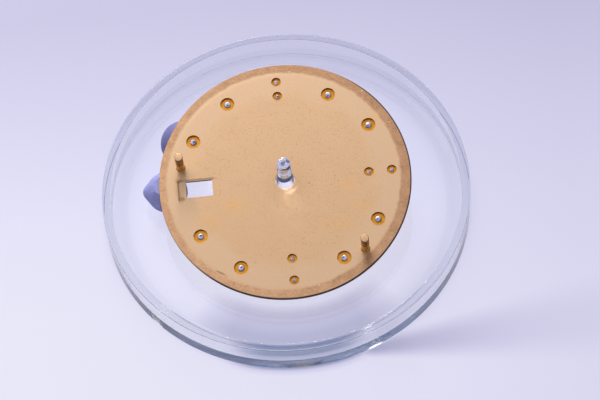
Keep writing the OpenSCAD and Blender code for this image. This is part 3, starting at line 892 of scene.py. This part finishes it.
# Floor
def floor_shade(n, where, out):
    """How much light the dish and the peg keep from each place on the table."""
    # The wall bends light away from the table at its near foot, in rings round the dish.
    reach = n.times(out, 0.04)
    rings = n.ramp(reach, (0.52, 0.04), (0.565, 0.3), (0.65, 0.38), (0.675, 0.42), (0.69, 0.4), (0.7135, 0.36),
                   (0.7195, 0.74), (0.748, 0.78), (0.757, 0.42), (0.768, 0.38), (0.774, 0.12), (0.806, 0.12),
                   (0.811, 0.62), (0.82, 0.62), (0.836, 0.16), (0.86, 0.0))
    facing = n.dot(n.vector("NORMALIZE", where), (0.0, -1, 0))
    near = n.span(facing, 0.9, 0.985, 0.1, 1.0, smooth=True)
    wide = n.times(n.span(facing, 0.75, 0.91, 0.1, 1.0), n.ramp(reach, (0.714, 1.0), (0.72, 0.0)))
    shade = n.times(rings, n.most(near, wide))
    # On the far side the wall's foot is a little darker.
    far = n.ramp(reach, (0.78, 0.0), (0.79, 0.1), (0.802, 0.13), (0.807, 0.0))
    shade = n.most(shade, n.times(far, n.span(facing, -0.2, -0.6)))
    # The dish's shadow trails off to the right.
    x, y = n.part(where, "X"), n.part(where, "Y")
    middle = n.plus(n.times(x, 0.06), -19.4)
    width = n.most(n.plus(n.times(x, 0.2), -0.3), 0.6)
    aside = n.math("DIVIDE", n.math("ABSOLUTE", n.minus(y, middle)), width)
    fading = n.ramp(n.times(x, 0.025), (0.1, 0.0), (0.2, 0.45), (0.3, 0.36), (0.45, 0.24), (0.62, 0.13),
                    (1.0, 0.02))
    trail = n.times(n.span(aside, 0.1, 1.0, 1.0, 0.0, smooth=True), fading,
                    n.span(out, DISH_R - 0.2, DISH_R + 0.2))
    # The peg keeps the light from the spot it stands over.
    root = n.ramp(n.times(out, 0.2), (0.2, 0.3), (0.3, 0.0))
    return n.most(shade, trail, root)


def make_floor():
    """A pale table that also glows a little to the eye, in metal and through the clear plastic."""
    deselect()
    bpy.ops.mesh.primitive_plane_add(size=2, location=(0, 0, -0.00005))
    floor = rename(bpy.context.object, "floor")
    finish, n, shader = new_finish("pale_floor")
    where = n.dish_coordinates()
    out = n.length(where)
    across = n.span(n.part(where, "X"), -40.0, 40.0)
    away = n.span(n.part(where, "Y"), -40.0, 40.0)
    # Painted light: the table is lighter towards the left and the near side, and floor_shade paints the shade
    # round the dish and the peg.
    light = n.times(n.ramp(across, (0.1, 1.0), (0.4, 0.965), (0.65, 0.925), (0.9, 0.86)),
                    n.ramp(away, (0.2, 0.845), (0.35, 0.83), (0.5, 0.785), (0.65, 0.705), (0.85, 0.585)),
                    n.minus(1.0, floor_shade(n, where, out)))
    tone = n.ramp(light, (0.07, colour(38, 66, 120)), (0.25, colour(132, 148, 186)),
                  (0.54, colour(198, 195, 222)), (0.66, colour(214, 212, 236)), (0.75, colour(227, 225, 246)),
                  (0.83, colour(236, 235, 250)), (0.88, colour(241, 240, 252)))
    n.feed(shader, {"Base Color": tone, "Roughness": 0.8, "Specular IOR Level": 0.2})
    path = n.add("LightPath").outputs
    seen = n.most(path["Is Camera Ray"], path["Is Glossy Ray"], path["Is Transmission Ray"])
    # Light passes low under the far half of the dial, so its shade is thin there. The table's glow is also
    # painted brighter there and inside the dish's wall.
    under = n.blob(where, (-3.5, 3.5), (11.0, 8.0))
    lit = n.most(n.span(out, 19.5, 16.0, 0.6, 0.84), n.span(under, 0.0, 1.0, 0.6, 0.96))
    strength = n.times(n.span(under, 0.0, 1.0, 1.0, 1.16), n.span(out, 19.5, 17.0, 1.0, 1.15))
    glow = n.add("Emission", {"Color": tone, "Strength": strength})
    to_surface(n, n.add("MixShader", {0: n.times(seen, lit), 1: shader.outputs[0], 2: glow.outputs[0]}))
    floor.data.materials.append(finish)


make_floor()


# Light and camera
def soft_lamp(name, spot, size, power):
    """A soft lamp aimed at the dish, out of sight through the clear plastic."""
    data = bpy.data.lights.new(name, "AREA")
    data.shape = "RECTANGLE"
    data.size, data.size_y = size
    data.energy = power
    lamp = bpy.data.objects.new(name, data)
    bpy.context.scene.collection.objects.link(lamp)
    lamp.location = spot
    lamp.visible_transmission = False
    lamp.rotation_euler = (Vector((0, 0, 0.003)) - Vector(spot)).to_track_quat("-Z", "Y").to_euler()


def toward(compass, lift, distance):
    """A point at a compass direction and height angle from the dish, in metres."""
    flat = distance * math.cos(math.radians(lift))
    return (flat * math.cos(math.radians(compass)), flat * math.sin(math.radians(compass)),
            distance * math.sin(math.radians(lift)))


soft_lamp("back_lamp", toward(98, 34, 0.36), (0.15, 0.11), 1.15)
soft_lamp("left_lamp", toward(150, 62, 0.38), (0.16, 0.16), 0.1)


def make_world():
    """A pale studio, brightest high at the back but for a spot there, with two darker openings."""
    world = bpy.data.worlds.new("studio")
    world.use_nodes = True
    n = Nodes(world.node_tree)
    look = n.add("TexCoord").outputs["Generated"]

    def patch(heading, lift, inner, outer):
        """1 within an angle of a direction, and 0 past a wider one."""
        return n.span(n.dot(look, toward(heading, lift, 1.0)), math.cos(math.radians(outer)),
                      math.cos(math.radians(inner)), smooth=True)

    shade = n.most(patch(15, 42, 18, 26), patch(-150, 30, 14, 20))
    strength = n.times(n.span(patch(95, 62, 14, 42), 0.0, 1.0, 0.34, 1.2),
                       n.span(patch(90, 59.5, 3, 9), 0.0, 1.0, 1.0, 0.8))
    n.feed(world.node_tree.nodes["Background"],
           {"Color": n.blend(shade, colour(236, 236, 248), colour(38, 46, 92)), "Strength": strength})
    bpy.context.scene.world = world


make_world()


def make_camera():
    data = bpy.data.cameras.new("camera")
    data.lens = 156
    data.sensor_width = 36
    data.clip_start = 0.01
    camera = bpy.data.objects.new("camera", data)
    bpy.context.scene.collection.objects.link(camera)
    # It looks down by lift, and its picture leans by lean.
    lift, lean = math.radians(59.484), math.radians(4.964)
    behind = Vector((0, -math.cos(lift), math.sin(lift)))
    level = Vector((1, 0, 0))
    rise = Vector((0, math.sin(lift), math.cos(lift)))
    right = level * math.cos(lean) - rise * math.sin(lean)
    up = level * math.sin(lean) + rise * math.cos(lean)
    turn = Matrix((right, up, behind)).transposed().to_4x4()
    camera.matrix_world = Matrix.Translation((0.001453, -0.148239, 0.252316)) @ turn
    bpy.context.scene.camera = camera


make_camera()
scene = bpy.context.scene
scene.view_settings.view_transform = "Standard"
# Enough bounces for light to cross the dish's wall, the peg and the stones.
scene.cycles.max_bounces = 48
scene.cycles.glossy_bounces = 48
scene.cycles.transmission_bounces = 48
